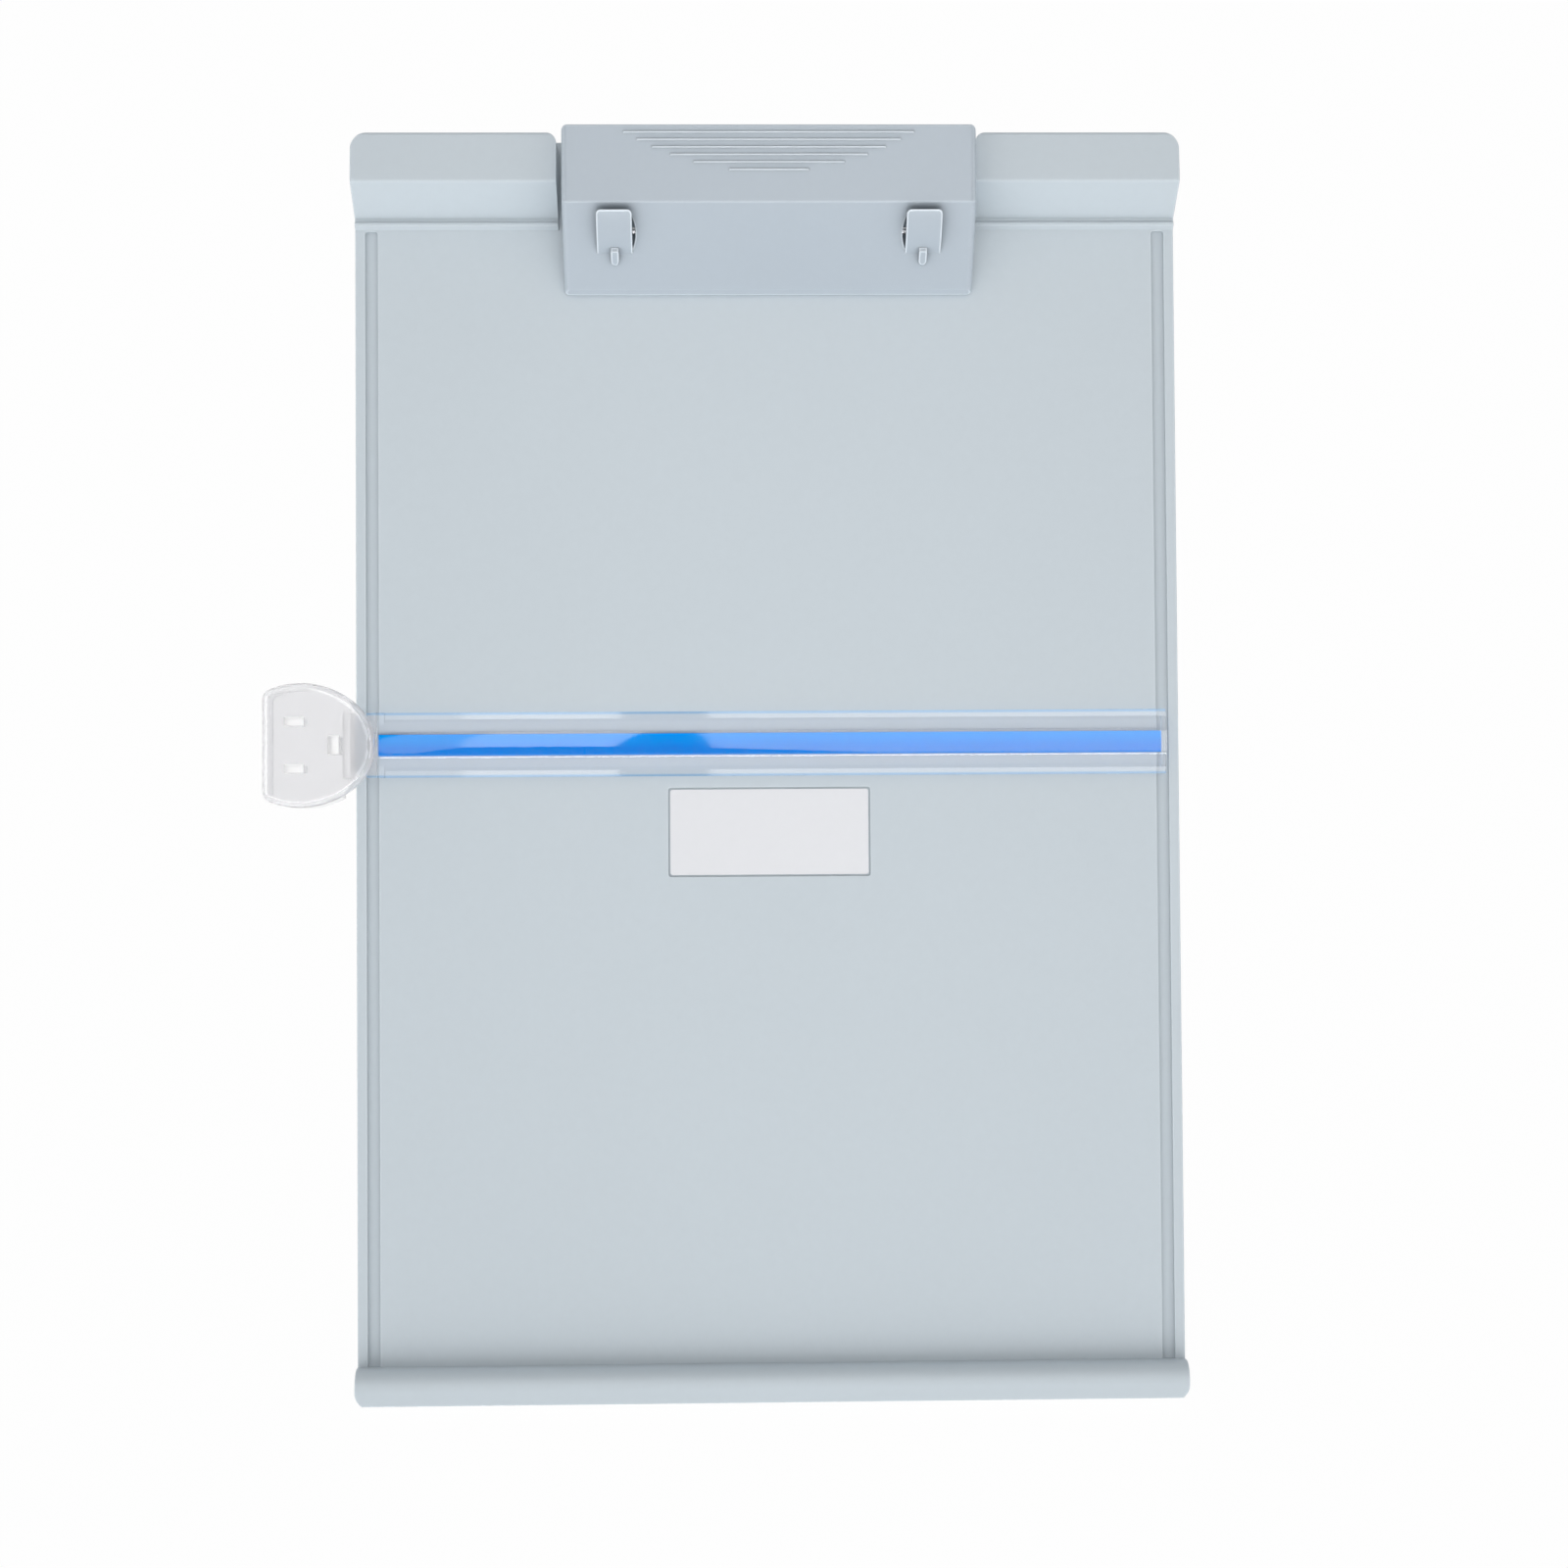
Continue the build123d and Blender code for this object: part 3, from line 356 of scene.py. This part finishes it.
barFinish = {
    "colour": (0.75, 0.87, 1.0),
    "flatColour": (0.98, 0.985, 1.0),
    "facing": (0.2, 0.4),
    "clear": 1.0,
    "edgeLine": {"middle": 0.1842, "half": 0.0091, "width": 0.0008, "colour": (0.55, 0.78, 1.0)},
    "rough": (0.02, 0.05),
    "wave": 0.05,
    "waveScale": (18.0, 90.0, 90.0),
    "shadow": (0.99, 0.99, 1.0),
}
knobFinish = {
    "colour": (0.985, 0.985, 1.0),
    "flatColour": (0.9, 0.9, 0.915),
    "clear": 0.8,
    "facing": (0.97, 0.995),
    "rough": (0.02, 0.06),
    "wave": 0.01,
    "waveScale": (70.0, 70.0, 70.0),
    "shadow": (0.95, 0.95, 0.955),
}
carriageFinish = {
    "colour": (0.96, 0.96, 0.97),
    "flatColour": (0.98, 0.98, 0.985),
    "clear": 1.0,
    "facing": (0.97, 0.995),
    "rough": (0.3, 0.42),
    "wave": 0.04,
    "waveScale": (120.0, 120.0, 120.0),
    "shadow": (0.85, 0.86, 0.87),
}


# Bright steel with fine lines of drawing
def drawnSteel(name, finish):
    material, tree, surface = newMaterial(name)
    spread = addNode(tree, "Mapping", {"Vector": objectPlace(tree), "Scale": finish["lines"]}).outputs[0]
    lines = noise(tree, spread, {"Scale": 1.0, "Detail": finish["detail"]})
    shader = addNode(
        tree,
        "BsdfPrincipled",
        {
            "Base Color": blend(tree, lines, rgba(finish["dark"]), rgba(finish["light"])),
            "Metallic": 1.0,
            "Roughness": remap(tree, lines, target=finish["rough"]),
            "Normal": addNode(tree, "Bump", {**finish["relief"], "Height": lines}).outputs[0],
        },
    )
    tree.links.new(shader.outputs[0], surface)
    return material


steelFinish = {
    "lines": (300.0, 3000.0, 3000.0),
    "detail": 3.0,
    "relief": {"Strength": 0.08, "Distance": 0.00005},
    "rough": (0.22, 0.38),
    "dark": (0.5, 0.51, 0.53),
    "light": (0.68, 0.69, 0.71),
}

boardPlastic = mouldedPlastic("boardPlastic", boardFinish)
clipPlastic = mouldedPlastic("clipPlastic", clipFinish)
labelSheet = mouldedPlastic("labelSheet", labelFinish)
rubber = mouldedPlastic("rubber", rubberFinish)
blueFilm = mouldedPlastic("blueFilm", filmFinish)
barClear = clearPlastic("barClear", barFinish)
knobClear = clearPlastic("knobClear", knobFinish)
carriageClear = clearPlastic("carriageClear", carriageFinish)
steel = drawnSteel("steel", steelFinish)

nodeFinishes = {
    "board": boardPlastic,
    "easel_leg": boardPlastic,
    "label_plate": labelSheet,
    "front_foot": rubber,
    "leg_feet": rubber,
    "clip_lever": clipPlastic,
    "clip_pin_left": steel,
    "clip_pin_right": steel,
    "clip_spring_left": steel,
    "clip_spring_right": steel,
    "guide_bar": barClear,
    "guide_stripe": blueFilm,
    "guide_knob": knobClear,
    "guide_carriage": carriageClear,
    "guide_brake_spring": steel,
    "leg_pin_left": steel,
    "leg_pin_right": steel,
}
for nodeName, finish in nodeFinishes.items():
    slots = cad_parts[nodeName].data.materials
    slots.clear()
    slots.append(finish)
print("finishes set on", len(nodeFinishes), "nodes")

# Clip springs: a wire circle spun up the coil, close at both ends
springWire = {
    "coil": 0.004,
    "wire": 0.00035,
    "sides": 12,
    "stepsPerTurn": 40,
    "turns": ((1.0, 0.00125), (2.5, None), (1.0, 0.00125)),
    "keep": 0.46,
}
springSeat = {"height": 0.3465, "foot": 0.0001, "top": 0.0179}


def coilMesh(name, spring, height):
    endRise = sum(turns * pitch for turns, pitch in spring["turns"] if pitch)
    openTurns = sum(turns for turns, pitch in spring["turns"] if not pitch)
    openPitch = (height - 2 * spring["wire"] - endRise) / openTurns
    bm = bmesh.new()
    ring = bmesh.ops.create_circle(bm, segments=spring["sides"], radius=spring["wire"])["verts"]
    bmesh.ops.rotate(bm, verts=ring, cent=(0, 0, 0), matrix=Matrix.Rotation(pi / 2, 3, "X"))
    bmesh.ops.translate(bm, verts=ring, vec=(spring["coil"], 0, spring["wire"]))
    loop = list(bm.edges)
    for turns, pitch in spring["turns"]:
        steps = round(turns * spring["stepsPerTurn"])
        spun = bmesh.ops.spin(
            bm,
            geom=loop,
            cent=(0, 0, 0),
            axis=(0, 0, 1),
            dvec=(0, 0, turns * (pitch or openPitch) / steps),
            angle=turns * 2 * pi,
            steps=steps,
            use_merge=False,
        )
        loop = [g for g in spun["geom_last"] if isinstance(g, bmesh.types.BMEdge)]
    bmesh.ops.holes_fill(bm, edges=[e for e in bm.edges if e.is_boundary], sides=0)
    bmesh.ops.recalc_face_normals(bm, faces=bm.faces)
    for face in bm.faces:
        face.smooth = len(face.verts) == 4
    mesh = bpy.data.meshes.new(name)
    bm.to_mesh(mesh)
    bm.free()
    return mesh


for side in ("left", "right"):
    coil = coilMesh(f"clipSpring_{side}", springWire, springSeat["top"] - springSeat["foot"])
    lo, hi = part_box(f"clip_spring_{side}")
    seat = Vector(((lo[0] + hi[0]) / 2, springSeat["height"], springSeat["foot"]))
    coil.transform(boardFrame @ Matrix.Translation(seat))
    coil.materials.append(steel)
    spring = newObject(f"clipSpring_{side}", coil)
    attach(spring, "board")
    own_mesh(spring)
    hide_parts(f"clip_spring_{side}")
print("clip springs wound")

# Camera, in the board's directions: where it stands and how it is turned
shot = {
    "spot": (-0.0187, 0.1461, 0.850),
    "pitch": -1.806,
    "yaw": 1.530,
    "roll": 0.390,
    "lens": 69.23,
    "sensor": 36.0,
}
turn = (
    Matrix.Rotation(radians(shot["pitch"]), 4, "X")
    @ Matrix.Rotation(radians(shot["yaw"]), 4, "Y")
    @ Matrix.Rotation(radians(shot["roll"]), 4, "Z")
)
lens = bpy.data.cameras.new("shot")
lens.lens = shot["lens"]
lens.sensor_width = shot["sensor"]
camera = newObject("shot", lens)
camera.matrix_world = boardFrame @ Matrix.Translation(shot["spot"]) @ turn.transposed()
bpy.context.scene.camera = camera
white = (1.0, 1.0, 1.0, 1.0)


# One where a ray has met no dull surface on its way from the lens
def unscattered(tree):
    return reckon(tree, "LESS_THAN", addNode(tree, "LightPath").outputs["Diffuse Depth"], 0.5)


# One where such a ray shows the lens what it meets
def seenDirectly(tree):
    path = addNode(tree, "LightPath").outputs
    sharp = reckon(tree, "MAXIMUM", path["Is Camera Ray"], path["Is Glossy Ray"])
    sharp = reckon(tree, "MAXIMUM", sharp, path["Is Transmission Ray"])
    return reckon(tree, "MULTIPLY", sharp, unscattered(tree))


# White floor: plain white in view and in reflections, with a faint shadow
floorLook = {"size": 12.0, "colour": (0.8, 0.8, 0.8), "shadowShare": 0.02}


def floorMaterial(look):
    material, tree, surface = newMaterial("floorWhite")
    diffuse = addNode(tree, "BsdfDiffuse", {"Color": rgba(look["colour"])})
    glow = addNode(tree, "Emission", {"Color": white, "Strength": 1.0})
    share = reckon(tree, "MULTIPLY", seenDirectly(tree), 1.0 - look["shadowShare"])
    mix = addNode(tree, "MixShader", {0: share, 1: diffuse.outputs[0], 2: glow.outputs[0]})
    tree.links.new(mix.outputs[0], surface)
    return material


floorMesh = bpy.data.meshes.new("floor")
bm = bmesh.new()
bmesh.ops.create_grid(bm, x_segments=1, y_segments=1, size=floorLook["size"] / 2)
bm.to_mesh(floorMesh)
bm.free()
floorMesh.materials.append(floorMaterial(floorLook))
floor = newObject("floor", floorMesh)

# Soft light from all round, white where it shows
airLook = {"level": 0.575, "shown": 1.0}
world = bpy.data.worlds.new("studio")
bpy.context.scene.world = world
world.use_nodes = True
tree = world.node_tree
tree.nodes.clear()
level = remap(tree, seenDirectly(tree), target=(airLook["level"], airLook["shown"]))
air = addNode(tree, "Background", {"Color": white, "Strength": level})
addNode(tree, "OutputWorld", {"Surface": air.outputs[0]})

# Soft lamps: a wide pale one that lies on the floor in front and shines up, and a weak one at the left
softLamps = {
    "low": {"spot": (0.0, -1.21, 0.0008), "aim": (0.0, -1.21, 1.0), "size": (3.0, 2.42), "power": 24.3},
    "left": {"spot": (-0.75, -0.75, 0.5), "aim": (0.0, 0.06, 0.17), "size": (0.6, 0.6), "power": 0.6},
}
for name, lampLook in softLamps.items():
    lamp = bpy.data.lights.new(f"softLamp_{name}", "AREA")
    lamp.shape = "RECTANGLE"
    lamp.size, lamp.size_y = lampLook["size"]
    lamp.energy = lampLook["power"]
    lamp.cycles.use_multiple_importance_sampling = False
    holder = newObject(f"softLamp_{name}", lamp)
    spot, aim = Vector(lampLook["spot"]), Vector(lampLook["aim"])
    turned = (aim - spot).to_track_quat("-Z", "Y").to_matrix().to_4x4()
    holder.matrix_world = Matrix.Translation(spot) @ turned
    holder.visible_camera = False
    holder.visible_glossy = False
    holder.visible_transmission = False

# Light panels and the dark room behind the lens, in the board's directions, which show only as reflections
roomCards = {
    "leftNear": {
        "level": 5.0,
        "corners": ((-0.055, 0.9, 0.86), (-0.0675, 0.1, 0.86), (-0.155, 0.1, 0.86), (-0.155, 0.9, 0.86)),
    },
    "leftFar": {
        "level": 2.4,
        "corners": (
            (-0.155, 0.9, 0.86),
            (-0.155, 0.1, 0.86),
            (-0.19, -0.2, 0.86),
            (-0.205, -0.2, 0.86),
            (-0.205, 0.9, 0.86),
        ),
    },
    "right": {
        "level": 4.2,
        "corners": (
            (-0.022, 0.9, 0.86),
            (0.27, 0.9, 0.86),
            (0.27, -0.25, 0.86),
            (0.085, -0.25, 0.86),
            (-0.0135, 0.02, 0.86),
        ),
    },
    "sideLeft": {
        "level": 6.0,
        "corners": ((-0.75, -0.05, 0.55), (-0.75, 0.6, 0.55), (-0.85, 0.6, 0.3), (-0.85, -0.05, 0.3)),
    },
    "sideRight": {
        "level": 6.0,
        "corners": ((0.75, -0.05, 0.55), (0.75, 0.6, 0.55), (0.85, 0.6, 0.3), (0.85, -0.05, 0.3)),
    },
    "low": {
        "level": 14.0,
        "corners": ((-0.5, -0.155, 0.45), (0.5, -0.155, 0.45), (0.5, -0.19, 0.55), (-0.5, -0.19, 0.55)),
    },
    "room": {
        "level": 0.03,
        "corners": ((-0.5, -0.25, 0.9), (0.5, -0.25, 0.9), (0.5, 1.0, 0.9), (-0.5, 1.0, 0.9)),
    },
}
# The share of a card's light that still comes through the clear bar to what lies under it
cardShare = 0.8
for name, card in roomCards.items():
    material, tree, surface = newMaterial(f"roomCard_{name}")
    level = remap(tree, unscattered(tree), target=(cardShare * card["level"], card["level"]))
    glow = addNode(tree, "Emission", {"Color": white, "Strength": level})
    tree.links.new(glow.outputs[0], surface)
    mesh = bpy.data.meshes.new(f"roomCard_{name}")
    mesh.from_pydata(card["corners"], [], [range(len(card["corners"]))])
    mesh.transform(boardFrame)
    mesh.materials.append(material)
    sheet = newObject(f"roomCard_{name}", mesh)
    sheet.visible_camera = False
    sheet.visible_diffuse = False
    sheet.visible_transmission = False
    sheet.visible_shadow = False
bpy.context.scene.view_settings.view_transform = "Standard"
print("camera, floor and lights set")
